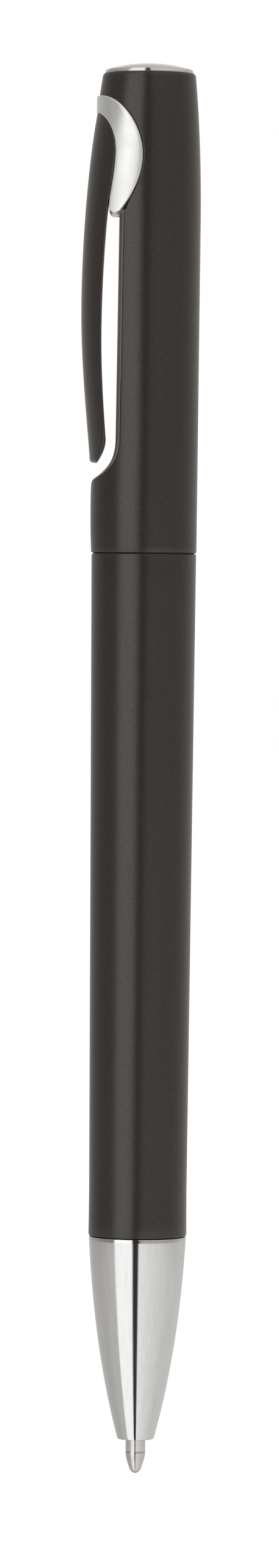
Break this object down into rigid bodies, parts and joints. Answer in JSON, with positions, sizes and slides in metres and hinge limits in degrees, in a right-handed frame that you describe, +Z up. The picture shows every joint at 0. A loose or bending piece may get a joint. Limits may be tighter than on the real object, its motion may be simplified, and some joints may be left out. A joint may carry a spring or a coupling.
{
  "type": "twist pen",
  "caption": "Slim twist ball-point pen with a matt black barrel in two halves, a bright nose cone and a moulded clip over a flat.",
  "frame": {"origin": "on the pen's axis at the lowest point of the writing ball, tip out", "axes": "+Z up the pen from the point to the dome; the clip faces -X; the pen is mirror-symmetric across the XZ plane"},
  "size_m": [0.0119, 0.011, 0.142],
  "materials": {
    "barrel_black": "matt, very fine grain",
    "clip_black": "matt, very fine grain",
    "trim_silver": "satin chrome",
    "nose_chrome": "bright chrome with faint turning marks",
    "dome_chrome": "bright chrome",
    "brass": "turned",
    "white_moulding": "plain moulding",
    "rubber": "plain",
    "tip_steel": "turned nickel silver",
    "steel": "bright"
  },
  "bodies": {
    "lower": {"nose_cone": "nose_chrome", "nose_coupler": "brass", "nose_o_ring": "rubber", "lower_barrel": "barrel_black", "mechanism_housing": "brass", "housing_cap": "brass", "thrust_washer": "white_moulding", "seam_washer": "rubber", "friction_ring": "rubber", "return_spring": "steel"},
    "upper": {"upper_barrel": "barrel_black", "drive_bush": "white_moulding", "drive_shaft": "brass", "cam_sleeve": "white_moulding", "clip_trim": "trim_silver", "top_dome": "dome_chrome"},
    "refill": {"refill_carrier": "white_moulding", "refill_tube": "brass", "refill_end_plug": "white_moulding", "refill_tip": "tip_steel", "refill_ball": "steel"},
    "clip_arm": {"clip": "clip_black"}
  },
  "joints": [
    {"name": "twist", "type": "hinge", "parent": "lower", "child": "upper", "pos_m": [0, 0, 0.0928], "axis": [0, 0, 1], "range_deg": [0, 140]},
    {"name": "refill_slide", "type": "slide", "parent": "lower", "child": "refill", "axis": [0, 0, 1], "range_m": [0, 0.0046], "deforming": ["return_spring"]},
    {"name": "clip_flex", "type": "hinge", "parent": "upper", "child": "clip_arm", "pos_m": [-0.0046, 0, 0.1362], "axis": [0, 1, 0], "range_deg": [0, 3], "stiffness_Nm_per_rad": 1.6}
  ],
  "couplings": [
    {"joint": "twist", "follows": "refill_slide", "rad_per_m": 531.19}
  ]
}
